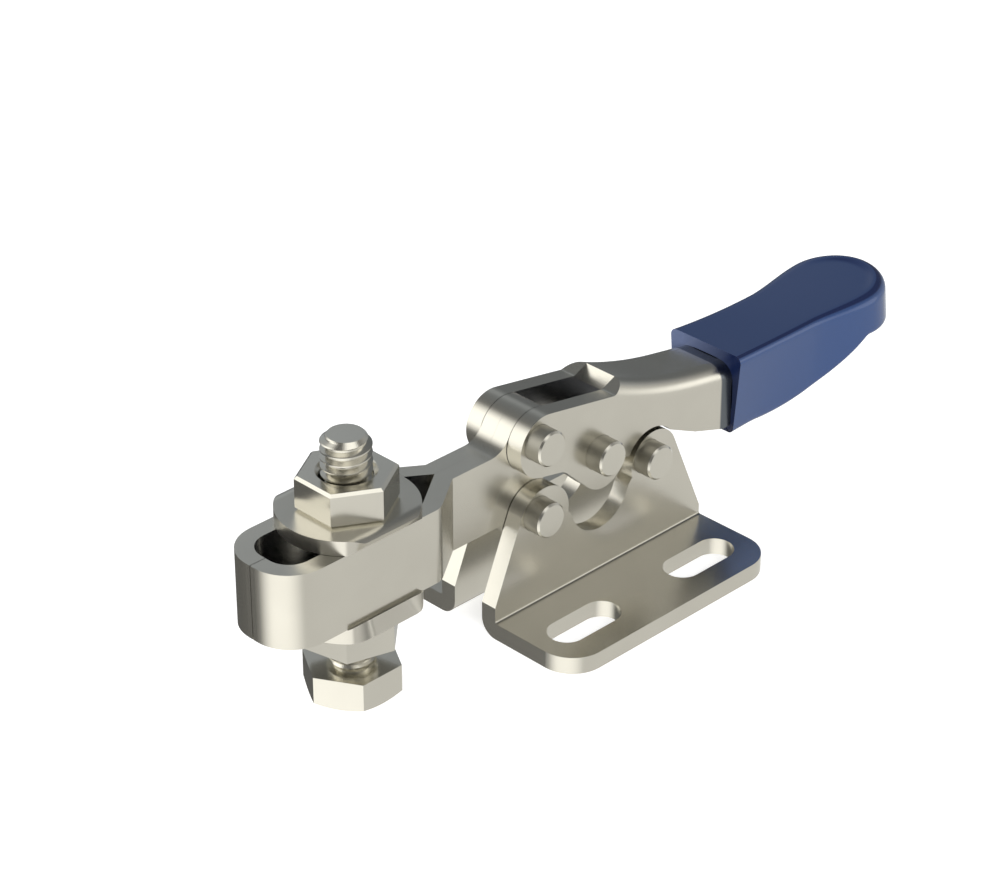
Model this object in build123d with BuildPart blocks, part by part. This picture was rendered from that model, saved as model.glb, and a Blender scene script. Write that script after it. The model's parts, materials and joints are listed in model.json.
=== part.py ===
from build123d import *
import math
import os

# Horizontal toggle clamp with a flanged base, built at its real size in millimetres.
# Frame: the origin is the centre of the four slots on the underside of the base,
# +X runs towards the handle and +Z is up. The side that most of the views show is -Y.

# ---------------------------------------------------------------- driving dimensions

# Sheet metal
sheet = 1.5                   # every stamping is cut from the same strip
stack_play = 0.05             # side play between the arm and the sheets beside it
seam = 0.03                   # half of the joint line between paired stampings
blade_seam = 0.005            # the same, where the two blades are pressed together
inner_bend = 0.2              # inside radius of a pressed bend

# Base: two mirrored angles that stand back to back
base_length = 24.0
base_width = 23.3
base_corner = 3.0
foot_rise_front = 2.9         # height at which the front edge of the web starts to slope
foot_rise_rear = 2.4
slot_width = 3.2
slot_length = 7.2
slot_spacing_x = 13.5
slot_spacing_y = 15.6
front_ear = (-6.5, 9.0)       # centres of the two rounded ears, (x, z)
front_ear_radius = 2.75
rear_ear = (6.2, 9.15)
rear_ear_radius = 2.65
valley = (-0.1, 8.65)         # scallop that the handle's nose drops into when it is open
valley_radius = 3.33
front_ear_meets_valley = -10.0  # degrees on the front ear's circle
valley_ends = (195.0, -15.0)  # degrees on the valley's circle
rear_ear_meets_valley = 195.0  # degrees on the rear ear's circle

# Pivots, (x, z)
arm_pivot = (-7.31, 9.72)     # arm on base
handle_pivot = (-7.25, 16.20)  # handle on arm
link_top_pivot = (-0.30, 12.43)  # link on handle
link_foot_pivot = (5.37, 9.76)  # link on base
pin_radius = 1.5
pin_projection = 1.6          # how far a pin's head stands out of the near outer sheet
pin_peen = 0.1                # how far its peened end stands out on the far side
pin_chamfer = 0.15
press_play = 0.02             # radial play of a pin in the sheets that hold it
turn_play = 0.05              # radial play of a pin in the piece that turns on it

# Holding arm: two mirrored stampings that spread into a slotted fork
arm_top = 15.51
arm_height = 6.52
fork_tip = -34.31             # x of the rounded tip
fork_width = 8.0
spread_start = -15.08         # x where the outer faces start to spread
spread_end = -18.68           # x where the bars run parallel again
tip_radius = 3.5
barrel = (-6.47, 15.57)       # rounded rear end, on the arm and on the handle's cheeks
barrel_radius = 2.73
barrel_fillet = 2.2
arm_rear = -5.1
arm_lobe_radius = 2.6

# Handle: one sheet folded over to an upside-down U
cheek_top_slope = 10.1        # degrees
window_rear = 2.9             # x of the web's front edge
window_corner = (1.5, 16.92)
window_fillet = 0.6
web_joint = (11.5, 14.98)     # where the curved part of the web meets its straight part
web_slope = 10.2              # degrees, straight part of the web
web_curve = 40.0              # radius of the curved part
web_turn = 12.9               # degrees of the curved part
fold_radius = 1.4             # outside radius of the fold
tongue_end = 26.0
tongue_depth = 3.1
stem_low = [(14.7, 8.55), (11.2, 9.7), (7.9, 11.25)]
crescent = (5.85, 9.25)       # cut-out that clears the rear ear
crescent_radius = 2.95
crescent_tip = (3.2, 10.65)
lobe = (0.25, 11.45)          # rounded nose around the link's upper pivot
lobe_radius = 2.5
cheek_low = (-4.3, 12.32)
cheek_low_fillet = 1.5
cheek_low_start = 258.0       # degrees on the barrel, where the lower edge leaves it

# Toggle link between handle and base
link_radius = 2.4

# Grip
grip_front = 15.6
grip_half_front = 3.85
grip_end_centre = 31.9
grip_end_radius = 4.65
grip_top = [(15.6, 15.2), (24.5, 14.62), (36.6, 15.55)]
grip_bottom = [(31.7, 11.35), (25.0, 8.45), (17.5, 7.9)]
grip_front_bottom = 7.85
grip_flank_angle = 98.0       # degrees, where the straight flank meets the round end
grip_draft = 4.0              # degrees
grip_edge = 0.7
grip_tail_edge = 1.2
socket_play = 0.05

# Spindle
spindle_x = -24.56
thread_radius = 2.0
bolt_length = 20.0
head_height = 2.8
head_base = 0.0
across_flats = 7.0
end_chamfer = 0.5
head_cone = 0.45              # height of the cone below the head's corners
nut_height = 2.9
nut_bevel = 0.35
thread_play = 0.05
washer_radius = 5.6
washer_thickness = 1.25
washer_flat = 4.06            # half width that stays flat over the bars
washer_bend = 36.0            # degrees
washer_bend_radius = 0.15
washer_wing = 0.95
washer_play = 0.02

# ---------------------------------------------------------------- values that follow

inner_face = sheet + stack_play
outer_face = inner_face + sheet
pin_reach = outer_face + pin_projection
pin_far_end = outer_face + pin_peen
arm_bottom = arm_top - arm_height
fork_half = fork_width / 2
front_edge = -base_length / 2
rear_edge = base_length / 2
side_edge = base_width / 2
nut_corner = across_flats / math.sqrt(3)
bore_radius = thread_radius + thread_play
head_top = head_base + head_height


def polar(centre, radius, degrees):
    """Point at an angle on a circle, in the plane of the side view."""
    angle = math.radians(degrees)
    return (centre[0] + radius * math.cos(angle), centre[1] + radius * math.sin(angle))


def tangent_angle(point, centre, radius, side):
    """Angle on the circle where a line from the point touches it."""
    dx = point[0] - centre[0]
    dz = point[1] - centre[1]
    reach = math.degrees(math.acos(radius / math.hypot(dx, dz)))
    return math.degrees(math.atan2(dz, dx)) + side * reach


def save(piece, name):
    """Label a finished piece and write it to its own STEP file."""
    piece.part.label = name
    export_step(piece.part, f"parts/{name}.step")


os.makedirs("parts", exist_ok=True)

# ---------------------------------------------------------------- base angles

front_toe = (front_edge, foot_rise_front)
rear_toe = (rear_edge, foot_rise_rear)
front_touch = polar(front_ear, front_ear_radius,
                    tangent_angle(front_toe, front_ear, front_ear_radius, -1))
rear_touch = polar(rear_ear, rear_ear_radius,
                   tangent_angle(rear_toe, rear_ear, rear_ear_radius, 1))
pin_centres_base = [arm_pivot, link_foot_pivot]

with BuildPart() as base_near:
    # Web: two ears over a common foot, with the scallop between them
    with BuildSketch(Plane.XZ.offset(inner_face)):
        with BuildLine():
            Polyline(
                (front_edge, 0), front_toe, front_touch, front_ear,
                polar(front_ear, front_ear_radius, front_ear_meets_valley),
                polar(valley, valley_radius, valley_ends[0]),
                polar(valley, valley_radius, valley_ends[1]),
                polar(rear_ear, rear_ear_radius, rear_ear_meets_valley),
                rear_ear, rear_touch, rear_toe, (rear_edge, 0),
                close=True,
            )
        make_face()
        with Locations(front_ear):
            Circle(front_ear_radius)
        with Locations(rear_ear):
            Circle(rear_ear_radius)
        with Locations(valley):
            Circle(valley_radius, mode=Mode.SUBTRACT)
        with Locations(*pin_centres_base):
            Circle(pin_radius + press_play, mode=Mode.SUBTRACT)
    extrude(amount=sheet)
    # Flange with rounded outer corners
    flange_middle = (inner_face + side_edge) / 2
    with BuildSketch(Plane.XY):
        with Locations((0, -flange_middle)):
            Rectangle(base_length, side_edge - inner_face)
    extrude(amount=sheet)
    outer_corners = base_near.edges().filter_by(Axis.Z).group_by(Axis.Y)[0]
    fillet(outer_corners, base_corner)
    inside_edge = base_near.edges().filter_by(Axis.X).filter_by_position(
        Axis.Z, sheet - 0.01, sheet + 0.01).group_by(Axis.Y)[-1]
    fillet(inside_edge, inner_bend)
    outside_edge = base_near.edges().filter_by(Axis.X).group_by(Axis.Z)[0].sort_by(Axis.Y)[-1]
    fillet(outside_edge, sheet)
    # Fastening slots, lengthwise
    with BuildSketch(Plane.XY):
        with Locations((-slot_spacing_x / 2, -slot_spacing_y / 2),
                       (slot_spacing_x / 2, -slot_spacing_y / 2)):
            SlotOverall(slot_length, slot_width)
    extrude(amount=sheet, mode=Mode.SUBTRACT)
save(base_near, "base_angle_near")

with BuildPart() as base_far:
    mirror(base_near.part, about=Plane.XZ)
save(base_far, "base_angle_far")

# ---------------------------------------------------------------- holding arm

bar_inner = fork_half - sheet
spread_angle = math.atan2(fork_half - sheet, spread_start - spread_end)
# The inside of the spread runs parallel to the outside, one sheet away
spread_shift = sheet * math.tan(spread_angle / 2)
slot_corner = spread_end - spread_shift
slot_apex = slot_corner + (bar_inner - seam) / math.tan(spread_angle)
# The fillet between the flat top and the barrel touches both
fillet_reach = barrel_radius + barrel_fillet
fillet_rise = arm_top + barrel_fillet - barrel[1]
fillet_centre = (barrel[0] - math.sqrt(fillet_reach**2 - fillet_rise**2), arm_top + barrel_fillet)

with BuildPart() as arm_near:
    # Plan of one stamping: blade, spread, bar and half of the tip
    with BuildSketch(Plane.XY):
        with BuildLine():
            FilletPolyline(
                (arm_rear, -sheet), (spread_start, -sheet), (spread_end, -fork_half),
                (fork_tip, -fork_half), (fork_tip, -seam),
                radius=[inner_bend, inner_bend + sheet, tip_radius],
            )
            FilletPolyline(
                (fork_tip + sheet, -seam), (fork_tip + sheet, -bar_inner),
                (slot_corner, -bar_inner), (slot_apex, -seam),
                radius=[tip_radius - sheet, inner_bend],
            )
            Line((fork_tip, -seam), (fork_tip + sheet, -seam))
            Polyline((slot_apex, -seam), (slot_apex, -blade_seam),
                     (arm_rear, -blade_seam), (arm_rear, -sheet))
        make_face()
    extrude(amount=arm_top + fork_width)
    # Side view: straight bars, barrel at the rear top and lobe at the pivot
    with BuildSketch(Plane.XZ):
        with BuildLine():
            Polyline(
                (fork_tip, arm_bottom), (fork_tip, arm_top), (fillet_centre[0], arm_top),
                fillet_centre, barrel, (arm_rear, barrel[1]),
                (arm_rear, arm_pivot[1]), arm_pivot, (arm_pivot[0], arm_bottom),
                close=True,
            )
        make_face()
        with Locations(fillet_centre):
            Circle(barrel_fillet, mode=Mode.SUBTRACT)
        with Locations(barrel):
            Circle(barrel_radius)
        with Locations(arm_pivot):
            Circle(arm_lobe_radius)
        with Locations(arm_pivot, handle_pivot):
            Circle(pin_radius + turn_play, mode=Mode.SUBTRACT)
    extrude(amount=fork_width, mode=Mode.INTERSECT)
save(arm_near, "arm_half_near")

with BuildPart() as arm_far:
    mirror(arm_near.part, about=Plane.XZ)
save(arm_far, "arm_half_far")

# ---------------------------------------------------------------- handle

slope = math.radians(web_slope)
along_web = (math.cos(slope), -math.sin(slope))
into_web = (-math.sin(slope), -math.cos(slope))
web_run = (tongue_end - web_joint[0]) / along_web[0]


def web_point(run, depth):
    """Point of the straight web, a run past the joint and a depth below its top."""
    return (web_joint[0] + run * along_web[0] + depth * into_web[0],
            web_joint[1] + run * along_web[1] + depth * into_web[1])


cheek_top_touch = polar(barrel, barrel_radius, 90 - cheek_top_slope)
cheek_low_touch = polar(barrel, barrel_radius, cheek_low_start)
lobe_touch = polar(lobe, lobe_radius, tangent_angle(cheek_low, lobe, lobe_radius, 1))
web_front = polar((web_point(0, -web_curve)), web_curve, 270 - web_slope - web_turn)
web_front_low = polar((web_point(0, -web_curve)), web_curve + sheet, 270 - web_slope - web_turn)

with BuildPart() as handle:
    # Outer form: both cheeks and the web in one outline
    with BuildSketch(Plane.XZ):
        with BuildLine():
            JernArc(web_point(0, 0), (-along_web[0], -along_web[1]), web_curve, -web_turn)
            Line(web_point(0, 0), web_point(web_run, 0))
            Polyline(web_point(web_run, 0), web_point(web_run, tongue_depth), *stem_low,
                     crescent, crescent_tip, lobe, lobe_touch)
            FilletPolyline(lobe_touch, cheek_low, cheek_low_touch, radius=[cheek_low_fillet])
            Polyline(cheek_low_touch, barrel, cheek_top_touch)
            FilletPolyline(cheek_top_touch, window_corner, web_front, radius=[window_fillet])
        make_face()
        with Locations(barrel):
            Circle(barrel_radius)
        with Locations(lobe):
            Circle(lobe_radius)
        with Locations(crescent):
            Circle(crescent_radius, mode=Mode.SUBTRACT)
    extrude(amount=outer_face, both=True)
    # Rounded fold along both edges of the web
    fold_edges = [edge for edge in handle.edges()
                  if abs(abs(edge.center().Y) - outer_face) < 0.01
                  and edge.length > tongue_depth
                  and edge.center().X > window_rear
                  and edge.center().Z > crescent[1] + crescent_radius]
    fillet(fold_edges, fold_radius)
    # Space between the cheeks, open at the front, below and through the window
    with BuildSketch(Plane.XZ):
        with BuildLine():
            JernArc(web_point(0, sheet), (-along_web[0], -along_web[1]), web_curve + sheet,
                    -web_turn)
            Polyline(web_point(0, sheet), web_point(web_run, sheet),
                     web_point(web_run, fork_width), (tongue_end, 0), (fork_tip / 2, 0),
                     (fork_tip / 2, arm_top + fork_width), (web_front[0], arm_top + fork_width),
                     web_front, web_front_low)
        make_face()
    extrude(amount=inner_face, both=True, mode=Mode.SUBTRACT)
    # Holes for the two pins
    with BuildSketch(Plane.XZ):
        with Locations(handle_pivot, link_top_pivot):
            Circle(pin_radius + press_play)
    extrude(amount=outer_face, both=True, mode=Mode.SUBTRACT)
save(handle, "handle")

# ---------------------------------------------------------------- grip

grip_ceiling = grip_top[2][1] + grip_edge
flank = polar((grip_end_centre, 0), grip_end_radius, grip_flank_angle)

with BuildPart() as grip:
    # Plan: narrow at the front, widening to a round end, with draft towards the bottom
    with BuildSketch(Plane.XY.offset(grip_ceiling)):
        with BuildLine():
            Polyline((flank[0], -flank[1]), (grip_front, -grip_half_front),
                     (grip_front, grip_half_front), flank)
            ThreePointArc(flank, (grip_end_centre + grip_end_radius, 0), (flank[0], -flank[1]))
        make_face()
    extrude(amount=-grip_ceiling, taper=grip_draft)
    # Side view: hollow top, rounded tail and a fin that hangs below the stem
    with BuildSketch(Plane.XZ):
        with BuildLine():
            ThreePointArc(*grip_top)
            Polyline(grip_top[2], (grip_top[2][0], grip_bottom[0][1]), grip_bottom[0])
            ThreePointArc(*grip_bottom)
            Polyline(grip_bottom[2], (grip_front, grip_front_bottom), grip_top[0])
        make_face()
    extrude(amount=fork_width, both=True, mode=Mode.INTERSECT)
    # Soft edges all round, except on the open front
    top_edges = [edge for edge in grip.edges()
                 if edge.center().Z > grip_top[1][1] - grip_edge
                 and edge.center().X > grip_front + grip_edge]
    fillet(top_edges, grip_edge)
    tail_edges = [edge for edge in grip.edges()
                  if edge.center().X > grip_bottom[0][0]
                  and edge.center().Z < grip_bottom[0][1] + 0.01]
    fillet(tail_edges, grip_tail_edge)
    # Socket for the folded tongue of the handle, with room for its rounded fold
    socket_low = web_point(web_run + socket_play, tongue_depth + socket_play)
    with BuildSketch(Plane.XZ):
        with BuildLine():
            Polyline(
                web_point(0, -socket_play), web_point(web_run + socket_play, -socket_play),
                socket_low, (stem_low[0][0], stem_low[0][1] - socket_play), close=True,
            )
        make_face()
    extrude(amount=outer_face + socket_play, both=True, mode=Mode.SUBTRACT)
save(grip, "grip")

# ---------------------------------------------------------------- toggle link

link_run = (link_foot_pivot[0] - link_top_pivot[0], link_foot_pivot[1] - link_top_pivot[1])
link_length = math.hypot(*link_run)
link_tilt = math.degrees(math.atan2(link_run[1], link_run[0]))
link_middle = ((link_foot_pivot[0] + link_top_pivot[0]) / 2,
               (link_foot_pivot[1] + link_top_pivot[1]) / 2)

with BuildPart() as link_near:
    with BuildSketch(Plane.XZ.offset(seam)):
        with Locations(Location(link_middle, link_tilt)):
            SlotCenterToCenter(link_length, 2 * link_radius)
        with Locations(link_top_pivot, link_foot_pivot):
            Circle(pin_radius + turn_play, mode=Mode.SUBTRACT)
    extrude(amount=sheet - seam)
save(link_near, "link_plate_near")

with BuildPart() as link_far:
    mirror(link_near.part, about=Plane.XZ)
save(link_far, "link_plate_far")

# ---------------------------------------------------------------- pivot pins

for pin_name, pin_centre in (("arm_pivot_pin", arm_pivot),
                             ("handle_pivot_pin", handle_pivot),
                             ("link_top_pin", link_top_pivot)):
    with BuildPart() as pin:
        with BuildSketch(Plane.XZ.offset(-pin_far_end)):
            with Locations(pin_centre):
                Circle(pin_radius)
        extrude(amount=pin_far_end + pin_reach)
        chamfer(pin.edges().filter_by(GeomType.CIRCLE).sort_by(Axis.Y)[0], pin_chamfer)
    save(pin, pin_name)

# The link's foot is the open pivot: its pin is held in each web and ends at the gap between
with BuildPart() as foot_pin_near:
    with BuildSketch(Plane.XZ.offset(inner_face)):
        with Locations(link_foot_pivot):
            Circle(pin_radius)
    extrude(amount=pin_reach - inner_face)
    chamfer(foot_pin_near.edges().filter_by(GeomType.CIRCLE).sort_by(Axis.Y)[0], pin_chamfer)
save(foot_pin_near, "link_foot_pin_near")

with BuildPart() as foot_pin_far:
    with BuildSketch(Plane.XZ.offset(-pin_far_end)):
        with Locations(link_foot_pivot):
            Circle(pin_radius)
    extrude(amount=pin_far_end - inner_face)
save(foot_pin_far, "link_foot_pin_far")

# ---------------------------------------------------------------- spindle

washer_seat = arm_top + washer_play
washer_floor = arm_bottom - washer_play
bend = math.radians(washer_bend)
wing_along = (math.cos(bend), -math.sin(bend))


def washer_profile(side):
    """Half section of a flanged washer, seated at height 0, in y and z."""
    outer_bend = washer_bend_radius + washer_thickness
    centre_y = washer_flat
    inner_end = (centre_y + washer_bend_radius * math.sin(bend),
                 washer_bend_radius * (math.cos(bend) - 1))
    outer_end = (centre_y + outer_bend * math.sin(bend),
                 outer_bend * math.cos(bend) - washer_bend_radius)
    inner_tip = (inner_end[0] + washer_wing * wing_along[0],
                 inner_end[1] + washer_wing * wing_along[1])
    outer_tip = (outer_end[0] + washer_wing * wing_along[0],
                 outer_end[1] + washer_wing * wing_along[1])
    Line((0, 0), (side * centre_y, 0))
    JernArc((side * centre_y, 0), (side, 0), washer_bend_radius, -side * washer_bend)
    Polyline((side * inner_end[0], inner_end[1]), (side * inner_tip[0], inner_tip[1]),
             (side * outer_tip[0], outer_tip[1]), (side * outer_end[0], outer_end[1]))
    JernArc((side * centre_y, washer_thickness), (side, 0), outer_bend, -side * washer_bend)
    Line((side * centre_y, washer_thickness), (0, washer_thickness))


with BuildPart() as washer_top:
    # A strip with both sides pressed down over the bars, trimmed to a round outline
    with BuildSketch(Plane.YZ.shift_origin((0, 0, washer_seat)).offset(spindle_x)):
        with BuildLine():
            washer_profile(1)
            washer_profile(-1)
        make_face()
    extrude(amount=washer_radius, both=True)
    with BuildSketch(Plane.XY.offset(arm_bottom)):
        with Locations((spindle_x, 0)):
            Circle(washer_radius)
            Circle(bore_radius, mode=Mode.SUBTRACT)
    extrude(amount=arm_height + fork_width, mode=Mode.INTERSECT)
save(washer_top, "flanged_washer_top")

with BuildPart() as washer_bottom:
    mirror(washer_top.part, about=Plane.XY.offset((washer_seat + washer_floor) / 2))
save(washer_bottom, "flanged_washer_bottom")


def build_nut(seat, direction, turn, bevel):
    """Hexagon nut whose seating face is at a height, built upwards or downwards."""
    with BuildPart() as nut:
        with BuildSketch(Plane.XY.offset(seat)):
            with Locations((spindle_x, 0)):
                RegularPolygon(nut_corner, 6, rotation=turn)
                Circle(bore_radius, mode=Mode.SUBTRACT)
        extrude(amount=direction * nut_height)
        free_face = nut.faces().filter_by(Axis.Z).sort_by(Axis.Z)[-1 if direction > 0 else 0]
        bore_edge = free_face.edges().filter_by(GeomType.CIRCLE)
        hex_edges = free_face.edges().filter_by(GeomType.LINE)
        chamfer(bore_edge, nut_bevel)
        if bevel:
            chamfer(hex_edges, nut_bevel)
    return nut


save(build_nut(washer_seat + washer_thickness, 1, 90, True), "lock_nut_top")
save(build_nut(washer_floor - washer_thickness, -1, 38.8, False), "lock_nut_bottom")

with BuildPart() as bolt:
    with BuildSketch(Plane.XY.offset(head_base)):
        with Locations((spindle_x, 0)):
            RegularPolygon(nut_corner, 6)
    extrude(amount=head_height)
    # The pressing face is turned to a cone at its corners
    with BuildSketch(Plane.XZ):
        with BuildLine():
            Polyline(
                (spindle_x, head_base), (spindle_x + across_flats / 2 - end_chamfer, head_base),
                (spindle_x + nut_corner, head_base + head_cone), (spindle_x + nut_corner, head_top),
                (spindle_x, head_top), close=True,
            )
        make_face()
    revolve(axis=Axis((spindle_x, 0, 0), (0, 0, 1)), mode=Mode.INTERSECT)
    with BuildSketch(Plane.XY.offset(head_top)):
        with Locations((spindle_x, 0)):
            Circle(thread_radius)
    extrude(amount=bolt_length)
    chamfer(bolt.edges().filter_by(GeomType.CIRCLE).sort_by(Axis.Z)[-1], end_chamfer)
save(bolt, "clamping_bolt")
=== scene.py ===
# %% [markdown]
# # A small toggle clamp, dressed for the library
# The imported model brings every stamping, pin, nut and washer in its true place.
# This scene gives them their finishes. It also makes what the plain solids leave out: the
# screw's thread, the trimmed rims of the nuts, the short wings of the washers and the
# moulded form of the grip. Then it lights the clamp on a white table.

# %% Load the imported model
import json
import math

import bmesh
import bpy
import numpy as np
from mathutils import Matrix, Vector


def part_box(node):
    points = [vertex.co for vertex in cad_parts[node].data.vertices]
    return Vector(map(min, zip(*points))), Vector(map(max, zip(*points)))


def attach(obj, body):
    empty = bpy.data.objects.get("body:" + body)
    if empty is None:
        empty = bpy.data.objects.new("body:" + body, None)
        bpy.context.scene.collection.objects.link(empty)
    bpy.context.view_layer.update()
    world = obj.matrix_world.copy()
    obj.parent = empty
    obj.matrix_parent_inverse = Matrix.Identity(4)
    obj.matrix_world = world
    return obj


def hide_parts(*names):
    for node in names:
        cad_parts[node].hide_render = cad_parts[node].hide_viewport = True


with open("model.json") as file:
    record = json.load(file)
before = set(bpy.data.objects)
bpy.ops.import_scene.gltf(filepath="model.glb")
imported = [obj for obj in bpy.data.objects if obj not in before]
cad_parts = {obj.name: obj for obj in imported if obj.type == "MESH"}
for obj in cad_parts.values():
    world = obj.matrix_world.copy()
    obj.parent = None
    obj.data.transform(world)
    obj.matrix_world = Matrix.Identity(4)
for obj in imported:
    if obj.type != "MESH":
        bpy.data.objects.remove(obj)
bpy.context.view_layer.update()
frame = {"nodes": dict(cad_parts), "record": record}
MM = 0.001

# %% [markdown]
# ## Camera
# The clamp is seen from its front left, thirty degrees down, with a long lens, so that
# upright edges stay nearly parallel. A camera looks along its own -Z, so its turn is
# built from three axes: right, up and backwards. The azimuth is the direction that the
# lens points in, measured from +X towards +Y.

# %% Place the camera
CAMERA_AT = (-159.49, -152.74, 140.13)      # millimetres
CAMERA_AZIMUTH = math.radians(45.32)
CAMERA_DROP = math.radians(30.11)
CAMERA_LENS = 113.98


def add_camera():
    """A camera whose axes come from its azimuth and its drop below the horizon."""
    data = bpy.data.cameras.new("camera")
    data.lens = CAMERA_LENS
    data.sensor_width = 36.0
    data.clip_start = 0.005
    camera = bpy.data.objects.new("camera", data)
    forward = Vector((math.cos(CAMERA_AZIMUTH) * math.cos(CAMERA_DROP),
                      math.sin(CAMERA_AZIMUTH) * math.cos(CAMERA_DROP),
                      -math.sin(CAMERA_DROP)))
    right = Vector((math.sin(CAMERA_AZIMUTH), -math.cos(CAMERA_AZIMUTH), 0.0))
    turn = Matrix((right, right.cross(forward), -forward)).transposed()
    camera.matrix_world = Matrix.Translation(Vector(CAMERA_AT) * MM) @ turn.to_4x4()
    bpy.context.scene.collection.objects.link(camera)
    return camera


bpy.context.scene.camera = add_camera()
print("camera looks along", [round(c, 3) for c in
      bpy.context.scene.camera.matrix_world.to_3x3() @ Vector((0, 0, -1))])

# %% [markdown]
# ## A shared effect: rolled and plated sheet
# Nickel plate on rolled steel is satin: a fine grain runs one way and reflections smear
# across it, and slow clouds of tone lie over the whole sheet. Both steels use the same
# effect, so it is a node group, built once. Its grain is noise on Object coordinates,
# stretched along one axis. The group puts out a colour, a roughness and a height, and
# each material has its own shader.

# %% Helpers for shader nodes
def link(tree, start, end):
    """Connects an output socket to an input socket."""
    tree.links.new(start, end)


def scaled_position(tree, position, scale):
    """A position times one number for each axis."""
    node = tree.nodes.new("ShaderNodeVectorMath")
    node.operation = "MULTIPLY"
    node.inputs[1].default_value = scale
    link(tree, position, node.inputs[0])
    return node.outputs[0]


def noise(tree, position, detail=2.0):
    """Noise at a position that is already scaled."""
    node = tree.nodes.new("ShaderNodeTexNoise")
    node.inputs["Scale"].default_value = 1.0
    node.inputs["Detail"].default_value = detail
    link(tree, position, node.inputs["Vector"])
    return node.outputs["Fac"]


def remap(tree, value, from_low, from_high, to_low, to_high):
    """A value moved from one range to another, and held inside the new one."""
    node = tree.nodes.new("ShaderNodeMapRange")
    node.inputs["From Min"].default_value = from_low
    node.inputs["From Max"].default_value = from_high
    for name, bound in (("To Min", to_low), ("To Max", to_high)):
        if isinstance(bound, (int, float)):
            node.inputs[name].default_value = bound
        else:
            link(tree, bound, node.inputs[name])
    link(tree, value, node.inputs["Value"])
    return node.outputs["Result"]


def product(tree, first, second):
    """Two values multiplied."""
    node = tree.nodes.new("ShaderNodeMath")
    node.operation = "MULTIPLY"
    link(tree, first, node.inputs[0])
    link(tree, second, node.inputs[1])
    return node.outputs[0]


def mixed_colour(tree, factor, low, high):
    """The colour between two, at a factor."""
    node = tree.nodes.new("ShaderNodeMix")
    node.data_type = "RGBA"
    link(tree, factor, node.inputs["Factor"])
    for socket, colour in ((node.inputs["A"], low), (node.inputs["B"], high)):
        if isinstance(colour, tuple):
            socket.default_value = (*colour, 1.0)
        else:
            link(tree, colour, socket)
    return node.outputs["Result"]


# %% Build the sheet effect
GRAIN_ACROSS = 5200.0         # cycles a metre across the grain
GRAIN_ALONG = 130.0
CLOUD_SCALE = 190.0
NOISE_RANGE = (0.3, 0.7)      # where most of the noise lies
GRAIN_SHARE = 0.6             # of the roughness; the clouds have the rest
SHARED_RANGE = (0.2, 0.8)     # where most of the two together lies


def build_sheet_group():
    """Grain and clouds: a colour between two tones, a roughness and a height."""
    group = bpy.data.node_groups.new("plated_sheet", "ShaderNodeTree")
    sockets = group.interface
    sockets.new_socket("Bright tone", in_out="INPUT", socket_type="NodeSocketColor")
    sockets.new_socket("Dull tone", in_out="INPUT", socket_type="NodeSocketColor")
    sockets.new_socket("Smooth", in_out="INPUT", socket_type="NodeSocketFloat")
    sockets.new_socket("Rough", in_out="INPUT", socket_type="NodeSocketFloat")
    sockets.new_socket("Colour", in_out="OUTPUT", socket_type="NodeSocketColor")
    sockets.new_socket("Roughness", in_out="OUTPUT", socket_type="NodeSocketFloat")
    sockets.new_socket("Height", in_out="OUTPUT", socket_type="NodeSocketFloat")
    given = group.nodes.new("NodeGroupInput")
    result = group.nodes.new("NodeGroupOutput")
    place = group.nodes.new("ShaderNodeTexCoord").outputs["Object"]
    stretch = (GRAIN_ACROSS, GRAIN_ACROSS, GRAIN_ALONG)
    grain = noise(group, scaled_position(group, place, stretch))
    clouds = noise(group, scaled_position(group, place, (CLOUD_SCALE,) * 3), detail=4.0)
    tone = remap(group, clouds, *NOISE_RANGE, 0.0, 1.0)
    link(group, mixed_colour(group, tone, given.outputs["Bright tone"],
                             given.outputs["Dull tone"]), result.inputs["Colour"])
    blend = group.nodes.new("ShaderNodeMath")
    blend.operation = "MULTIPLY_ADD"
    blend.inputs[1].default_value = GRAIN_SHARE
    link(group, grain, blend.inputs[0])
    link(group, remap(group, clouds, *NOISE_RANGE, 0.0, 1 - GRAIN_SHARE), blend.inputs[2])
    link(group, remap(group, blend.outputs[0], *SHARED_RANGE, given.outputs["Smooth"],
                      given.outputs["Rough"]), result.inputs["Roughness"])
    link(group, grain, result.inputs["Height"])
    return group


sheet_group = build_sheet_group()
print("sheet effect:", len(sheet_group.nodes), "nodes")

# %% [markdown]
# ## The steels
# The stampings are satin and slightly warm. The screw, the nuts and the pins are turned
# and cold headed parts, so their surface is a little smoother. One function makes them
# all, and its optional tones paint shade onto some pieces: inside a fold, between two
# cheeks, on the pins' sides and on the stem under the grip's lip. The grain's height goes
# through a Bump node, with a distance far below a hair's width, which is enough to break
# up a highlight.

# %% Describe the steels
GRAIN_STRENGTH = 0.5
GRAIN_DEPTH = 0.0002 * MM
# Painted shade: a dark line inside a fold
FOLD_SHADE_TONE = (0.50, 0.487, 0.44)
FLAT, TURNED = 0.03, 0.15     # parts of the normal where a fold starts and is full
# Painted shade: the sheet between two cheeks
INNER_SHADE_TONE = (0.42, 0.425, 0.44)
INNER_SHADE_RANGE = (-0.8 * MM, -0.2 * MM)        # y times the normal's y
# Painted shade on the pins' sides; their matte roughness is the wire's skin
PIN_SIDE_SHADE_TONE = (0.46, 0.445, 0.39)
SIDE_RANGE = (0.05, 0.3)      # square of the normal's y
MATTE = 0.5
# Painted shade: the stem where it goes under the grip's lip
LIP_SHADE_TONE = (0.17, 0.19, 0.215)
LIP_SHADE_RANGE = (14.2 * MM, 14.4 * MM)


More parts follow.
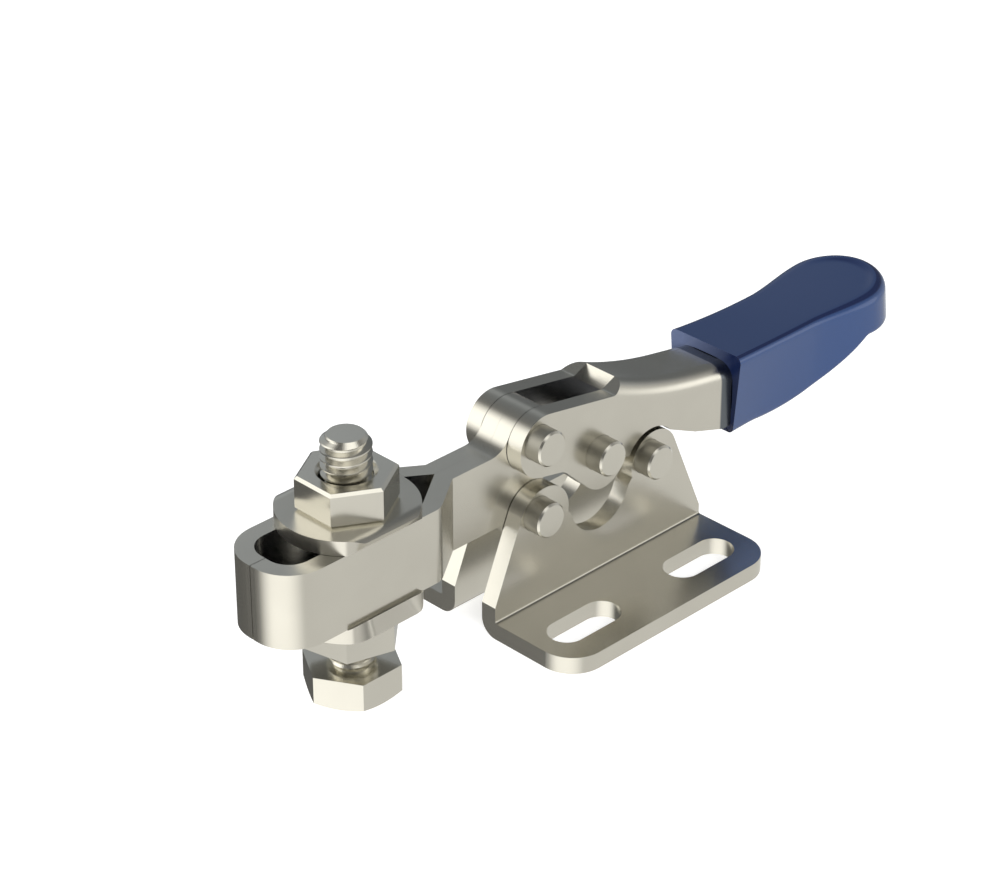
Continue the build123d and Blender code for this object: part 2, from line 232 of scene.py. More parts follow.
# %% Make the steels
def steel(name, tones, roughness_range, fold_shade_tone=None, inner_shade_tone=None, side_shade_tone=None,
          lip_shade_tone=None):
    """A plated metal with the sheet effect in it.

    The optional tones are painted shade. They stand in for shade that the studio's light
    would leave out. A fold has a painted dark line inside it, where the surface faces both
    outwards and up. Between two cheeks the sheet is painted darker as shade: there it faces
    the middle plane, so y times the normal's y is negative. A pin's side, where the normal
    has little of Y in it, keeps the matte roughness of the wire's skin and is painted darker
    as shade. The stem is painted dark as shade where it goes under the grip's lip.
    """
    material = bpy.data.materials.new(name)
    material.use_nodes = True
    tree = material.node_tree
    shader = tree.nodes["Principled BSDF"]
    shader.inputs["Metallic"].default_value = 1.0
    effect = tree.nodes.new("ShaderNodeGroup")
    effect.node_tree = sheet_group
    effect.inputs["Bright tone"].default_value = (*tones[0], 1.0)
    effect.inputs["Dull tone"].default_value = (*tones[1], 1.0)
    effect.inputs["Smooth"].default_value = roughness_range[0]
    effect.inputs["Rough"].default_value = roughness_range[1]
    bump = tree.nodes.new("ShaderNodeBump")
    bump.inputs["Strength"].default_value = GRAIN_STRENGTH
    bump.inputs["Distance"].default_value = GRAIN_DEPTH
    link(tree, effect.outputs["Height"], bump.inputs["Height"])
    colour, roughness = effect.outputs["Colour"], effect.outputs["Roughness"]
    coordinates = tree.nodes.new("ShaderNodeTexCoord")
    place = tree.nodes.new("ShaderNodeSeparateXYZ")
    facing = tree.nodes.new("ShaderNodeSeparateXYZ")
    link(tree, coordinates.outputs["Object"], place.inputs[0])
    link(tree, coordinates.outputs["Normal"], facing.inputs[0])
    # Painted shade inside a fold
    if fold_shade_tone:
        fold = product(tree, remap(tree, facing.outputs["Y"], -TURNED, -FLAT, 1.0, 0.0),
                       remap(tree, facing.outputs["Z"], FLAT, TURNED, 0.0, 1.0))
        colour = mixed_colour(tree, fold, colour, fold_shade_tone)
    # Painted shade between two cheeks
    if inner_shade_tone:
        across = product(tree, place.outputs["Y"], facing.outputs["Y"])
        inner = remap(tree, across, *INNER_SHADE_RANGE, 1.0, 0.0)
        colour = mixed_colour(tree, inner, colour, inner_shade_tone)
    # Painted shade on a pin's side, with the wire's matte roughness
    if side_shade_tone:
        along = product(tree, facing.outputs["Y"], facing.outputs["Y"])
        side = remap(tree, along, *SIDE_RANGE, 1.0, 0.0)
        colour = mixed_colour(tree, side, colour, side_shade_tone)
        roughness = remap(tree, side, 0.0, 1.0, roughness, MATTE)
    # Painted shade under the grip's lip
    if lip_shade_tone:
        lip = remap(tree, place.outputs["X"], *LIP_SHADE_RANGE, 0.0, 1.0)
        colour = mixed_colour(tree, lip, colour, lip_shade_tone)
    link(tree, colour, shader.inputs["Base Color"])
    link(tree, roughness, shader.inputs["Roughness"])
    link(tree, bump.outputs["Normal"], shader.inputs["Normal"])
    return material


STEEL_TONES = ((0.77, 0.75, 0.68), (0.73, 0.711, 0.643))
FASTENER_TONES = ((0.78, 0.762, 0.692), (0.74, 0.722, 0.655))
SATIN, SMOOTH = (0.25, 0.27), (0.19, 0.21)
# The stampings and the stem get painted shade between the cheeks
stamped_steel = steel("stamped_steel", STEEL_TONES, SATIN, inner_shade_tone=INNER_SHADE_TONE)
# The stem also gets painted shade under the grip's lip
stem_steel = steel("stem_steel", STEEL_TONES, SATIN, inner_shade_tone=INNER_SHADE_TONE,
                   lip_shade_tone=LIP_SHADE_TONE)
# The base angles get painted shade inside their folds
fold_shaded_steel = steel("fold_shaded_steel", STEEL_TONES, SATIN, fold_shade_tone=FOLD_SHADE_TONE)
washer_steel = steel("washer_steel", STEEL_TONES, (0.29, 0.31))
# The pins get painted shade on their sides
pin_steel = steel("pin_steel", FASTENER_TONES, (0.22, 0.24), side_shade_tone=PIN_SIDE_SHADE_TONE)
fastener_steel = steel("fastener_steel", FASTENER_TONES, SMOOTH)
print("steels:", [m.name for m in bpy.data.materials if m.name.endswith("steel")])

# %% [markdown]
# ## Glossy plastic grip
# The grip is moulded vinyl: deep blue, glossy and a little translucent. Its colour has
# painted light and shade in it: masks from facing paint the top darker than the flanks
# and the near rim of the top nearly black, and masks from place and facing paint the
# front face light on its far side, as light coming through its thin wall, and nearly
# black on its near side. The shader has a clear coat for the gloss, and slow noise makes
# the surface swell very slightly.

# %% Make the grip's plastic
# Painted shade on the top and painted light on the flanks of one vinyl
GRIP_SHADED_TOP_TONE = (0.027, 0.052, 0.140)
GRIP_LIT_FLANK_TONE = (0.034, 0.080, 0.230)
# Painted light coming through the front's thin wall on its far side
GRIP_LIT_THROUGH_TONE = (0.190, 0.240, 0.420)     # nothing behind the thin wall
# Painted shade, nearly black: the near rim of the top and the front's near side
GRIP_SHADE_TONE = (0.008, 0.018, 0.075)
FRONT_FADE = (-3.0 * MM, 2.6 * MM)          # from the near side to the far side
# Ranges of the normal, along Z unless said otherwise
TOP_FACING = (0.5, 0.9)
RIM_STARTS, RIM_ENDS = (0.74, 0.82), (0.975, 0.995)
NEAR_FACING = (-0.1, 0.1)     # along Y
FRONT_FACING = (-0.8, -0.6)   # along X
SWELL_SCALE = 260.0
SWELL_STRENGTH = 0.3
SWELL_DEPTH = 0.01 * MM
GLOSS = (0.14, 0.2)
COAT_WEIGHT, COAT_GLOSS = 0.3, 0.04
VINYL_IOR = 1.5


def grip_plastic_material():
    """Deep blue, with painted light and shade. The top is painted darker than the flanks,
    and the near rim of the top nearly black. The front face is painted light on its far
    side, as light coming through it, and nearly black on its near side, like the rim of the
    top."""
    material = bpy.data.materials.new("grip_plastic")
    material.use_nodes = True
    tree = material.node_tree
    shader = tree.nodes["Principled BSDF"]
    coordinates = tree.nodes.new("ShaderNodeTexCoord")
    place = coordinates.outputs["Object"]
    parts = tree.nodes.new("ShaderNodeSeparateXYZ")
    link(tree, place, parts.inputs[0])
    facing = tree.nodes.new("ShaderNodeSeparateXYZ")
    link(tree, coordinates.outputs["Normal"], facing.inputs[0])
    # Painted shade on the top and painted light on the flanks
    upward = remap(tree, facing.outputs["Z"], *TOP_FACING, 0.0, 1.0)
    body = mixed_colour(tree, upward, GRIP_LIT_FLANK_TONE, GRIP_SHADED_TOP_TONE)
    # Painted shade: the near rim of the top
    rim = product(tree, remap(tree, facing.outputs["Z"], *RIM_STARTS, 0.0, 1.0),
                  remap(tree, facing.outputs["Z"], *RIM_ENDS, 1.0, 0.0))
    rim = product(tree, rim, remap(tree, facing.outputs["Y"], *NEAR_FACING, 1.0, 0.0))
    body = mixed_colour(tree, rim, body, GRIP_SHADE_TONE)
    # Painted light through the front face on its far side, painted shade on its near side
    front = remap(tree, facing.outputs["X"], *FRONT_FACING, 1.0, 0.0)
    through = mixed_colour(tree, remap(tree, parts.outputs["Y"], *FRONT_FADE, 0.0, 1.0),
                           GRIP_SHADE_TONE, GRIP_LIT_THROUGH_TONE)
    link(tree, mixed_colour(tree, front, body, through), shader.inputs["Base Color"])
    swell = noise(tree, scaled_position(tree, place, (SWELL_SCALE,) * 3))
    link(tree, remap(tree, swell, *NOISE_RANGE, *GLOSS), shader.inputs["Roughness"])
    bump = tree.nodes.new("ShaderNodeBump")
    bump.inputs["Strength"].default_value = SWELL_STRENGTH
    bump.inputs["Distance"].default_value = SWELL_DEPTH
    link(tree, swell, bump.inputs["Height"])
    link(tree, bump.outputs["Normal"], shader.inputs["Normal"])
    shader.inputs["Coat Weight"].default_value = COAT_WEIGHT
    shader.inputs["Coat Roughness"].default_value = COAT_GLOSS
    shader.inputs["IOR"].default_value = VINYL_IOR
    return material


grip_plastic = grip_plastic_material()
print("grip:", grip_plastic.name)

# %% Give each node its material
FINISHES = {"stamped_steel": stamped_steel, "fastener_steel": fastener_steel,
            "grip_plastic": grip_plastic}
slot_of = {part["node"]: part["material_slot"] for part in frame["record"]["subparts"]}
for node_name, node in frame["nodes"].items():
    finish = FINISHES[slot_of[node_name]]
    if node_name.startswith("base_angle"):
        finish = fold_shaded_steel
    elif node_name == "handle":
        finish = stem_steel
    elif "pin" in node_name:
        finish = pin_steel
    for material_slot in node.material_slots:
        material_slot.material = finish
print("finished nodes:", len(slot_of))

# %% [markdown]
# ## A real thread on the clamping bolt
# The solid bolt is a plain rod with a hexagon head. On the real one an M4 thread shows
# above the top nut and over the head. The thread is one strip that winds round the
# axis: rows of the grid follow the helix, so crests and roots are clean lines. The
# screw's size comes from the node's own box.

# %% Measure the bolt
bolt_low, bolt_high = (np.array(corner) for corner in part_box("clamping_bolt"))
SCREW_AXIS = (bolt_low[:2] + bolt_high[:2]) / 2
SCREW_END = float(bolt_high[2])
HEAD_BASE = float(bolt_low[2])
ACROSS_FLATS = float(min(bolt_high[:2] - bolt_low[:2]))
HEAD_TOP = HEAD_BASE + 2.8 * MM       # the height of an M4 head
THREAD_RADIUS = 2.0 * MM
PITCH = 0.7 * MM
THREAD_DEPTH = 0.613 * PITCH
END_CHAMFER = 0.55 * MM
LEAD_IN = 0.1 * MM            # the thread starts this far above the head
NECK = 0.12 * MM              # and its root is this much thicker there
HEAD_CONE = 0.45 * MM
OVERLAP = 0.05 * MM           # of the shank and the head
print("screw axis", SCREW_AXIS / MM, "end", SCREW_END / MM, "flats", ACROSS_FLATS / MM)


# %% Helpers for surfaces
def mesh_object(name, vertices, faces, body, material, slot_name, smooth=True):
    """A closed surface as an object that rides on a body."""
    mesh = bpy.data.meshes.new(name)
    mesh.from_pydata(vertices.tolist(), [], faces)
    work = bmesh.new()
    work.from_mesh(mesh)
    bmesh.ops.remove_doubles(work, verts=work.verts, dist=1e-7)
    bmesh.ops.recalc_face_normals(work, faces=work.faces)
    work.to_mesh(mesh)
    work.free()
    mesh.polygons.foreach_set("use_smooth", [smooth] * len(mesh.polygons))
    mesh.materials.append(material)
    piece = bpy.data.objects.new(name, mesh)
    bpy.context.scene.collection.objects.link(piece)
    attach(piece, body)
    return piece


def round_screw(radius, angle, z):
    """Points at a radius and an angle round the screw's axis."""
    return np.stack([SCREW_AXIS[0] + radius * np.cos(angle),
                     SCREW_AXIS[1] + radius * np.sin(angle),
                     np.broadcast_to(z, angle.shape)], axis=-1)


def closed_loop(rings, order=1):
    """Vertices and faces of rings that close both round the axis and on themselves.
    Order -1 turns the faces round."""
    grid = np.stack(rings)
    index = np.arange(grid.shape[0] * grid.shape[1]).reshape(grid.shape[:2])
    after, above = np.roll(index, -1, axis=1), np.roll(index, -1, axis=0)
    quads = np.stack([index, after, np.roll(above, -1, axis=1), above], axis=-1)
    return grid.reshape(-1, 3), quads.reshape(-1, 4)[:, ::order].tolist()


def hexagon_edge(angle, flats):
    """Radius of a hexagon at an angle: half its flats over the cosine of the angle to
    the middle of the nearest flat. A corner lies at angle 0."""
    return flats / 2 / np.cos(np.mod(angle, np.pi / 3) - np.pi / 6)


# %% Wind the thread
def thread_surface(low, high, steps=72):
    """Vertices and faces of a threaded rod.

    The profile over one pitch is root, flank, crest, flank. A row of the grid keeps its
    place in the profile and climbs one pitch in a full turn, so row m at angle a has
    height low - pitch + h(m) + pitch * a / 360 and radius r(m). Heights are held between
    the rod's ends, and the radius is held under a cone at each end.
    """
    share = np.array([0.0, 0.125, 0.4375, 0.5, 0.5625, 0.875])
    rise = np.array([0.0, 0.0, 1.0, 1.0, 1.0, 0.0])
    turns = int(np.ceil((high - low) / PITCH)) + 2
    heights = ((np.arange(turns)[:, None] + share[None, :]) * PITCH).ravel()
    rises = np.tile(rise, turns)
    angle = np.arange(steps) / steps
    z = np.clip(low - PITCH + heights[:, None] + PITCH * angle[None, :], low, high)
    root = THREAD_RADIUS - THREAD_DEPTH
    radius = np.broadcast_to((root + THREAD_DEPTH * rises)[:, None], z.shape)
    cone = THREAD_RADIUS - END_CHAMFER + (high - z)
    radius = np.minimum(radius, cone)
    radius = np.minimum(radius, root + NECK + np.maximum(z - low - LEAD_IN, 0.0))
    grid = round_screw(radius, np.broadcast_to(2 * np.pi * angle[None, :], z.shape), z)
    rows = grid.shape[0]
    index = np.arange(rows * steps).reshape(rows, steps)
    per_turn = len(share)
    # The column after the last is the first one, a full turn further up
    beyond = np.concatenate([index[per_turn:, 0], np.full(per_turn, index[-1, 0])])
    wide = np.concatenate([index, beyond[:, None]], axis=1)
    quads = np.stack([wide[:-1, :-1], wide[:-1, 1:], wide[1:, 1:], wide[1:, :-1]], axis=-1)
    faces = quads.reshape(-1, 4).tolist()
    faces.append(index[0][::-1].tolist())
    faces.append(index[-1].tolist())
    return grid.reshape(-1, 3), faces


# %% Make the head and place the bolt
def head_surface(samples=20):
    """Vertices and faces of a hexagon head.

    The rings are: the pressing face's circle, the hexagon's edge lifted by the cone that
    trims its corners, and the same edge at the top.
    """
    inner = ACROSS_FLATS / 2 - HEAD_CONE
    corner = ACROSS_FLATS / math.sqrt(3)
    angle = np.arange(6 * samples) * (2 * np.pi / (6 * samples))
    edge = hexagon_edge(angle, ACROSS_FLATS)
    cone = HEAD_CONE * (edge - inner) / (corner - inner)
    rings = [(inner, HEAD_BASE), (edge, HEAD_BASE + cone), (edge, HEAD_TOP)]
    grid = np.stack([round_screw(r, angle, z) for r, z in rings])
    count = len(angle)
    index = np.arange(3 * count).reshape(3, count)
    after = np.roll(index, -1, axis=1)
    quads = np.stack([index[:-1], after[:-1], after[1:], index[1:]], axis=-1)
    faces = quads.reshape(-1, 4).tolist()
    faces.append(index[0][::-1].tolist())
    faces.append(index[-1].tolist())
    return grid.reshape(-1, 3), faces


shank = mesh_object("bolt_shank", *thread_surface(HEAD_TOP - OVERLAP, SCREW_END),
                    "spindle", fastener_steel, "fastener_steel", smooth=False)
head = mesh_object("bolt_head", *head_surface(), "spindle", fastener_steel,
                   "fastener_steel", smooth=False)
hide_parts("clamping_bolt")
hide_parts("clamping_bolt")
print("thread:", len(shank.data.polygons), "faces")

# %% [markdown]
# ## The lock nuts
# A hexagon nut is a hexagon prism whose rims are trimmed. On the upper nut the trim shows
# as thin bright strips, and the one below it leaves a dark line over the washer. The
# lower nut is nearly untrimmed. The surface is a loop of rings round the axis: each ring
# is a circle or the hexagon, drawn in a little where the rim is trimmed, and the last
# ring joins the first, so the bore is open.

# %% Make the nuts
NUT_BORE = 2.05 * MM
NUT_BORE_CHAMFER = 0.35 * MM
# For each nut: how far it is turned, in degrees, and how much its rims are trimmed
NUTS = {"lock_nut_top": (90.0, 0.22 * MM), "lock_nut_bottom": (43.0, 0.04 * MM)}


def nut_surface(low, high, turn, trim, samples=12):
    """Vertices and faces of a nut with trimmed rims and a chamfered bore."""
    angle = np.arange(6 * samples) * (2 * np.pi / (6 * samples))
    edge = hexagon_edge(angle, ACROSS_FLATS)
    drawn_in = edge * (1 - trim / (ACROSS_FLATS / 2))
    rings = [(NUT_BORE, low), (drawn_in, low), (edge, low + trim), (edge, high - trim),
             (drawn_in, high), (NUT_BORE + NUT_BORE_CHAMFER, high),
             (NUT_BORE, high - NUT_BORE_CHAMFER)]
    turned = angle + math.radians(turn)
    return closed_loop([round_screw(r, turned, z) for r, z in rings])


for nut_name, (turn, trim) in NUTS.items():
    low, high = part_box(nut_name)
    nut = mesh_object(nut_name.replace("lock", "trimmed"),
                      *nut_surface(low[2], high[2], turn, trim), "spindle_seat",
                      fastener_steel, "fastener_steel", smooth=False)
    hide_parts(nut_name)
    print(nut.name, len(nut.data.polygons), "faces")

# %% [markdown]
# ## Washers with short wings
# Each washer is a disc whose two sides are folded over the fork. Its outline is a circle
# cut off by the ends of the wings, and its height depends on y only: flat, then round the
# fold, then down the wing. Rings run out along the inside and back along the outside.

# %% Make the washers
WASHER_RADIUS = 5.6 * MM
WASHER_THICKNESS = 1.25 * MM
WASHER_BORE = 2.2 * MM
FOLD_LINE = 4.06 * MM
FOLD_RADIUS = 1.40 * MM       # on the outside
FOLD_SLOPE = math.radians(36.0)
# For each washer: which way it faces and the length of its wings past the fold
WASHERS = {"flanged_washer_top": (1, 0.04 * MM), "flanged_washer_bottom": (-1, 0.34 * MM)}


def washer_surface(seat, up, wing, around=192, across=22):
    """Vertices and faces of a washer that sits on a height and faces up (1) or down (-1)."""
    angle = np.arange(around) * (2 * np.pi / around)
    fold_run = FOLD_RADIUS * math.sin(FOLD_SLOPE)
    wing_run = wing * math.cos(FOLD_SLOPE)
    side = np.maximum(np.abs(np.sin(angle)), 1e-6)     # never zero
    inner_rim = np.minimum(WASHER_RADIUS, (FOLD_LINE + wing_run) / side)
    outer_rim = np.minimum(WASHER_RADIUS, (FOLD_LINE + fold_run + wing_run) / side)
    rings = []
    for rim, steps, outside in ((inner_rim, np.linspace(0, 1, across), False),
                                (outer_rim, np.linspace(1, 0, across), True)):
        for share in steps:
            radius = WASHER_BORE + (rim - WASHER_BORE) * share
            past = np.maximum(np.abs(radius * np.sin(angle)) - FOLD_LINE, 0.0)
            if outside:
                bent = np.minimum(past, fold_run)
                drop = FOLD_RADIUS - np.sqrt(FOLD_RADIUS ** 2 - bent ** 2)
                drop = drop + (past - bent) * math.tan(FOLD_SLOPE) - WASHER_THICKNESS
            else:
                drop = past * math.tan(FOLD_SLOPE)
            rings.append(round_screw(radius, angle, seat - up * drop))
    return closed_loop(rings, up)


for washer_name, (up, wing) in WASHERS.items():
    low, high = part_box(washer_name)
    seat = high[2] - WASHER_THICKNESS if up > 0 else low[2] + WASHER_THICKNESS
    washer = mesh_object(washer_name.replace("flanged", "folded"),
                         *washer_surface(seat, up, wing), "spindle_seat",
                         washer_steel, "fastener_steel")
    washer.data.set_sharp_from_angle(angle=math.radians(30))
    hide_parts(washer_name)
    print(washer.name, "seated at", round(seat / MM, 2), "mm")

# %% [markdown]
# ## The moulded grip
# The plain solid has one draft all over. The real grip tapers towards the bottom at its
# open front, swells towards a round tail, and has a fin that ends under the tail in a
# small step. It is drawn as rays: from a spine on the middle plane to each point of the
# outline seen from above. Along each ray the surface runs out over the top, round a soft
# rim, down the flank, round the lower edge and back in to the spine.

# %% Describe the grip
GRIP_FRONT = 15.6
GRIP_CENTRE = 31.9            # centre of the round tail
GRIP_TAIL = 4.5               # radius of the tail at the rim
GRIP_TOP = ((15.6, 15.2), (24.5, 14.98), (36.6, 15.8))
GRIP_FIN = ((17.0, 8.0), (25.5, 8.6), (31.2, 11.5))
GRIP_STEP = 11.62             # underside of the tail
GRIP_WAIST = ((15.6, 3.95), (22.0, 3.72), (27.0, 3.74))
SOCKET_END = 26.1
SOCKET_HALF = 3.12
SOCKET_TOP = (14.30, 12.57)   # at the front and at the end
SOCKET_BOTTOM = (8.5, 9.25)
FIN_STARTS = 18.5
WAIST_ENDS = 27.0
TAIL_STARTS = 25.0
DRAFT = (4.8, -4.7)           # degrees, inwards at the front and outwards at the tail
DRAFT_SPAN = (17.0, 34.0)
TOP_ROUND = (0.65, 0.95)
ROUND_SPAN = (24.0, 36.0)
LOW_ROUND = 0.5
# Rings over the top and under the fin, as shares of the way out from the spine
TOP_SHARES = (0.0, 0.25, 0.5, 0.75, 0.92)
FIN_SHARES = (0.85, 0.6, 0.35, 0.0)


def parabola(points, x):
    """Height at x of the parabola through three points."""
    return np.polyval(np.polyfit(*np.array(points).T, 2), x)


def soft_step(x, start, end):
    """0 before start, 1 after end, and smooth between them: 3 t^2 - 2 t^3."""
    t = np.clip((x - start) / (end - start), 0.0, 1.0)
    return t * t * (3 - 2 * t)


def graded(ends, x, span):
    """A measure that goes softly from its first value to its second over a span of x."""
    return ends[0] + (ends[1] - ends[0]) * soft_step(x, *span)


def fin_height(x):
    """Lower edge: level at the front, then the fin's curve up to the tail's underside."""
    level = parabola(GRIP_FIN, np.maximum(x, FIN_STARTS))
    return np.minimum(level, GRIP_STEP)


# %% Outlines of the grip and its socket
def grip_outline(flank_steps=44, tail_steps=36):
    """Points of half the outline and their spine points, from the front to the tail.

    The flank is the waist's parabola, blended into the tail's circle. The tail is the
    circle itself, whose rays all start at its centre.
    """
    x = np.linspace(GRIP_FRONT, GRIP_CENTRE, flank_steps)
    blend = soft_step(x, TAIL_STARTS, GRIP_CENTRE)
    width = parabola(GRIP_WAIST, np.minimum(x, WAIST_ENDS)) * (1 - blend) + GRIP_TAIL * blend
    angle = np.linspace(np.pi / 2, 0.0, tail_steps)[1:]
    rim_x = np.concatenate([x, GRIP_CENTRE + GRIP_TAIL * np.cos(angle)])
    rim_y = np.concatenate([width, GRIP_TAIL * np.sin(angle)])
    spine = np.concatenate([x, np.full(tail_steps - 1, GRIP_CENTRE)])
    return rim_x, rim_y, spine


def socket_loop(rim, x):
    """The socket's outline at x, with one point for each point of the front's rim.

    Its form is a squared circle, |y / half|^4 + |z / half|^4 = 1, and each point lies in
    the same direction from the middle as the rim's.
    """
    share = (x - GRIP_FRONT) / (SOCKET_END - GRIP_FRONT)
    high = SOCKET_TOP[0] + (SOCKET_TOP[1] - SOCKET_TOP[0]) * share
    low = SOCKET_BOTTOM[0] + (SOCKET_BOTTOM[1] - SOCKET_BOTTOM[0]) * share
    middle = (SOCKET_TOP[0] + SOCKET_BOTTOM[0]) / 2
    turn = np.arctan2(rim[:, 2] - middle, rim[:, 1])
    away = (np.abs(np.cos(turn) / SOCKET_HALF) ** 4
            + np.abs(np.sin(turn) / ((high - low) / 2)) ** 4) ** (-1 / 4)
    return np.stack([np.full_like(turn, x), away * np.cos(turn),
                     (high + low) / 2 + away * np.sin(turn)], axis=-1)


# %% Build the grip
def grip_surface(round_steps=8, wall_steps=14):
    """Vertices and faces of the grip, with its open front and the socket in it."""
    near_x, near_y, near_spine = grip_outline()
    rim_x = np.concatenate([near_x, near_x[-2::-1]])
    rim_y = np.concatenate([-near_y, near_y[-2::-1]])
    spine = np.concatenate([near_spine, near_spine[-2::-1]])
    reach = np.hypot(rim_x - spine, rim_y)
    top_round = graded(TOP_ROUND, rim_x, ROUND_SPAN)
    draft = np.tan(np.radians(graded(DRAFT, rim_x, DRAFT_SPAN)))
    top = parabola(GRIP_TOP, rim_x)
    bottom = fin_height(rim_x)

    def wall(z):
        """Reach of the flank at a height."""
        return reach - (top - z) * draft

    # Each row: how far out it lies, its height, or the side whose form gives the height
    rows = [(share * (reach - top_round), None, 1) for share in TOP_SHARES]
    for step in range(round_steps + 1):
        turn = 0.5 * np.pi * step / round_steps
        z = top - top_round * (1 - np.cos(turn))
        rows.append((wall(z) - top_round * (1 - np.sin(turn)), z, 0))
    high_end, low_end = top - top_round, bottom + LOW_ROUND
    for step in range(1, wall_steps):
        z = high_end + (low_end - high_end) * step / wall_steps
        rows.append((wall(z), z, 0))
    for step in range(round_steps + 1):
        turn = 0.5 * np.pi * step / round_steps
        z = bottom + LOW_ROUND * (1 - np.sin(turn))
        rows.append((wall(z) - LOW_ROUND * (1 - np.cos(turn)), z, 0))
    rows += [(share * (reach - LOW_ROUND), None, -1) for share in FIN_SHARES]
    grid = []
    for out, z, side in rows:
        x = spine + (rim_x - spine) * out / reach
        y = rim_y * out / reach
        if side:
            z = parabola(GRIP_TOP, x) if side > 0 else fin_height(x)
        grid.append(np.stack([x, y, z], axis=-1))
    grid = np.stack(grid)
    count, around = grid.shape[:2]
    index = np.arange(count * around).reshape(count, around)
    quads = np.stack([index[:-1, :-1], index[:-1, 1:], index[1:, 1:], index[1:, :-1]], axis=-1)
    # The open front's rim runs down the near flank and up the far one
    rim = np.concatenate([index[:, 0], index[-2:0:-1, -1]])
    points = grid.reshape(-1, 3)
    loops = [socket_loop(points[rim], x) for x in (GRIP_FRONT, SOCKET_END)]
    first = len(points) + np.arange(2)[:, None] * len(rim) + np.arange(len(rim))[None, :]
    chain = np.concatenate([rim[None, :], first])
    after = np.roll(chain, -1, axis=1)
    front = np.stack([chain[:-1], after[:-1], after[1:], chain[1:]], axis=-1)
    faces = quads.reshape(-1, 4).tolist() + front.reshape(-1, 4).tolist()
    faces.append(first[-1].tolist())
    return np.concatenate([points, *loops]) * MM, faces


moulded_grip = mesh_object("moulded_grip", *grip_surface(), "handle", grip_plastic,
                           "grip_plastic")
moulded_grip.data.set_sharp_from_angle(angle=math.radians(40))
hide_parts("grip")
print("grip:", len(moulded_grip.data.polygons), "faces")

# %% [markdown]
# ## White table and studio
# The table is a wide pale plane at the height that the clamp stands on, and it keeps a
# soft shadow. Where the camera looks at it, a little light of its own lifts it to white.
# Bright metal only looks like metal when it mirrors something with light and dark in it,
# so reflections see a studio. It has a dim ceiling, a white table and soft panels. Each
# panel is a direction: the world is as bright as the panel near that direction and
# fades away from it. Light from the window side is warm and light from the back wall is
# cool. A ray's direction is what Generated gives in a world.

# %% Lay the table
TABLE_REACH = 3.0
TABLE_DROP = 0.02 * MM
TABLE_COLOUR = (0.85, 0.85, 0.85, 1.0)
TABLE_LIFT = 0.6


def add_table():
    """A pale plane that the camera sees as white, with the clamp's shadow on it."""
    mesh = bpy.data.meshes.new("table")
    corners = [(x * TABLE_REACH, y * TABLE_REACH, -TABLE_DROP)
               for x, y in ((-1, -1), (1, -1), (1, 1), (-1, 1))]
    mesh.from_pydata(corners, [], [(0, 1, 2, 3)])
    table = bpy.data.objects.new("table", mesh)
    bpy.context.scene.collection.objects.link(table)
    table.visible_glossy = False
    material = bpy.data.materials.new("table_paint")
    material.use_nodes = True
    tree = material.node_tree
    paint = tree.nodes["Principled BSDF"]
    paint.inputs["Base Color"].default_value = TABLE_COLOUR
    paint.inputs["Roughness"].default_value = 1.0
    paint.inputs["Specular IOR Level"].default_value = 0.0
    paint.inputs["Emission Color"].default_value = (1.0, 1.0, 1.0, 1.0)
    rays = tree.nodes.new("ShaderNodeLightPath")
    lift = tree.nodes.new("ShaderNodeMath")
    lift.operation = "MULTIPLY"
    lift.inputs[1].default_value = TABLE_LIFT
    link(tree, rays.outputs["Is Camera Ray"], lift.inputs[0])
    link(tree, lift.outputs[0], paint.inputs["Emission Strength"])
    mesh.materials.append(material)
    return table


table = add_table()
print("table:", table.name, "drawn at", table.data.vertices[0].co.z / MM, "mm")

# %% Describe the studio
CEILING = 0.15
TABLE_MIRRORED = 0.12
# Each panel: azimuth and height of its middle, full within and gone beyond, in degrees,
# and how bright it is
PANELS = (
    (141, 17, 19, 40, 1.38),      # tall window at the left
    (80, 15, 22, 33, 0.25),       # back wall
    (54, 29, 7, 13, 0.22),        # strip on the back wall
    (-95, 60, 14, 30, 1.15),      # lamp over the near side
    (-45, 42, 20, 42, 0.04),      # ceiling at the near right
    (-50, 10, 12, 20, 0.80),      # low strip at the near right
    (-160, -33, 18, 50, 1.15),    # table at the near left
    (-45, -32, 42, 74, 0.56),     # table at the near right
    (25, -22, 8, 20, 0.40),       # table at the far right
)
WARM_SIDE = (1.0, 0.985, 0.94)
COOL_SIDE = (0.93, 0.985, 1.03)
COOL_FROM = (45, 20, 30, 62)  # azimuth, height, full within and gone beyond
HORIZON = (-0.12, 0.02)       # heights of a direction where the table ends
EVEN_LIGHT = 0.5


def panel_vector(azimuth, height):
    """Unit vector at an azimuth and a height in degrees."""
    a, h = math.radians(azimuth), math.radians(height)
    return (math.cos(a) * math.cos(h), math.sin(a) * math.cos(h), math.sin(h))


def towards(tree, direction, azimuth, height, full, gone, bright):
    """A value that is full near one direction and gone away from it."""
    facing = tree.nodes.new("ShaderNodeVectorMath")
    facing.operation = "DOT_PRODUCT"
    facing.inputs[1].default_value = panel_vector(azimuth, height)
    link(tree, direction, facing.inputs[0])
    return remap(tree, facing.outputs["Value"], math.cos(math.radians(gone)),
                 math.cos(math.radians(full)), 0.0, bright)


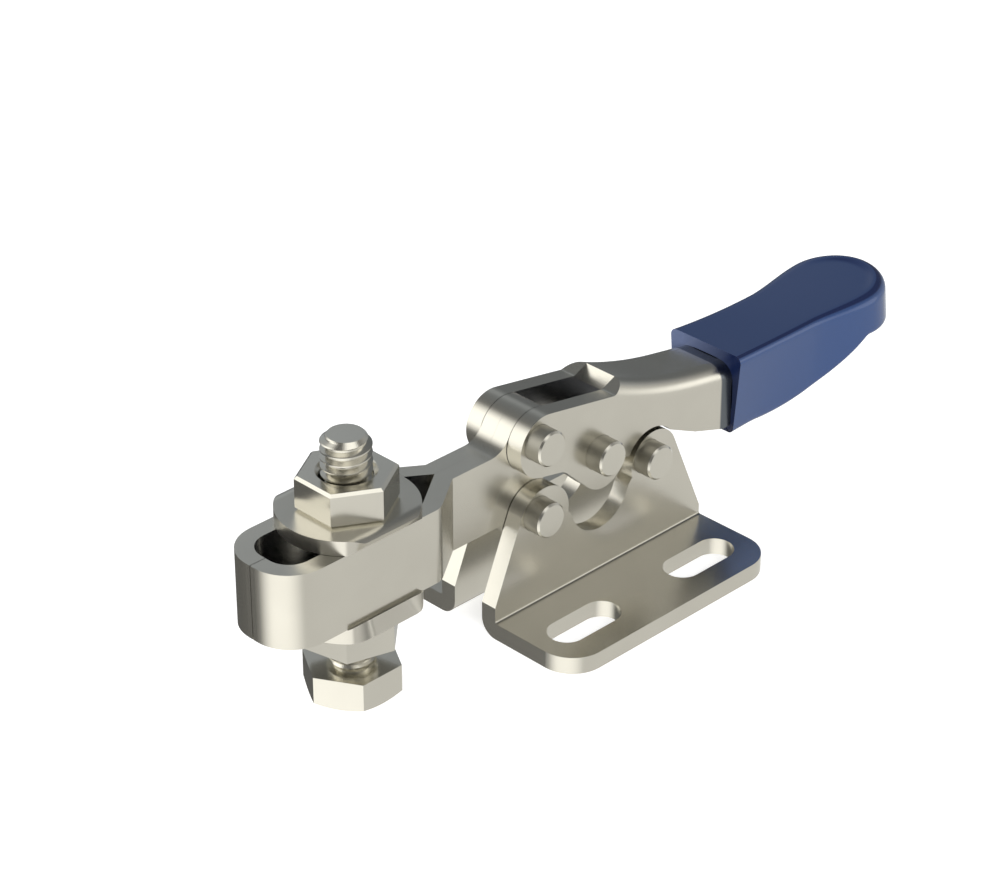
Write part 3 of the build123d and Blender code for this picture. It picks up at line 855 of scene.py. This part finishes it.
# %% Set the studio
def set_world():
    """White for the camera, the studio for reflections, an even level for the rest."""
    world = bpy.data.worlds.new("studio")
    bpy.context.scene.world = world
    world.use_nodes = True
    tree = world.node_tree
    tree.nodes.clear()
    rays = tree.nodes.new("ShaderNodeLightPath")
    direction = tree.nodes.new("ShaderNodeTexCoord").outputs["Generated"]
    parts = tree.nodes.new("ShaderNodeSeparateXYZ")
    link(tree, direction, parts.inputs[0])
    level = remap(tree, parts.outputs["Z"], *HORIZON, TABLE_MIRRORED, CEILING)
    for panel in PANELS:
        total = tree.nodes.new("ShaderNodeMath")
        total.operation = "ADD"
        link(tree, level, total.inputs[0])
        link(tree, towards(tree, direction, *panel), total.inputs[1])
        level = total.outputs[0]
    even = tree.nodes.new("ShaderNodeMix")
    even.data_type = "FLOAT"
    even.inputs["A"].default_value = EVEN_LIGHT
    link(tree, rays.outputs["Is Glossy Ray"], even.inputs["Factor"])
    link(tree, level, even.inputs["B"])
    seen = tree.nodes.new("ShaderNodeMath")
    seen.operation = "MAXIMUM"
    link(tree, rays.outputs["Is Camera Ray"], seen.inputs[0])
    link(tree, rays.outputs["Is Transmission Ray"], seen.inputs[1])
    strength = tree.nodes.new("ShaderNodeMix")
    strength.data_type = "FLOAT"
    strength.inputs["B"].default_value = 1.0
    link(tree, seen.outputs[0], strength.inputs["Factor"])
    link(tree, even.outputs["Result"], strength.inputs["A"])
    tint = mixed_colour(tree, towards(tree, direction, *COOL_FROM, 1.0),
                        WARM_SIDE, COOL_SIDE)
    background = tree.nodes.new("ShaderNodeBackground")
    link(tree, mixed_colour(tree, rays.outputs["Is Glossy Ray"], (1.0, 1.0, 1.0), tint),
         background.inputs["Color"])
    link(tree, strength.outputs["Result"], background.inputs["Strength"])
    output = tree.nodes.new("ShaderNodeOutputWorld")
    link(tree, background.outputs[0], output.inputs["Surface"])


set_world()
print("panels:", len(PANELS))


# %% Hang the lamps
def add_softbox(name, place, target, size, watts):
    """A square area lamp in millimetres, turned to face a point. Metal mirrors the
    studio's panels in place of the lamp, so the lamp isn't doubled in it."""
    data = bpy.data.lights.new(name, "AREA")
    data.shape = "SQUARE"
    data.size = size * MM
    data.energy = watts
    lamp = bpy.data.objects.new(name, data)
    lamp.location = Vector(place) * MM
    lamp.rotation_euler = (Vector(target) - Vector(place)).to_track_quat("-Z", "Y").to_euler()
    lamp.visible_glossy = False
    bpy.context.scene.collection.objects.link(lamp)
    return lamp


LAMP_TARGET = (0, 0, 10)
add_softbox("near_lamp", (-260, -420, 260), LAMP_TARGET, 350, 1.6)
add_softbox("far_lamp", (-100, 400, 420), LAMP_TARGET, 400, 1.0)
bpy.context.scene.view_settings.view_transform = "Standard"
print("lamps:", [light.name for light in bpy.data.lights])
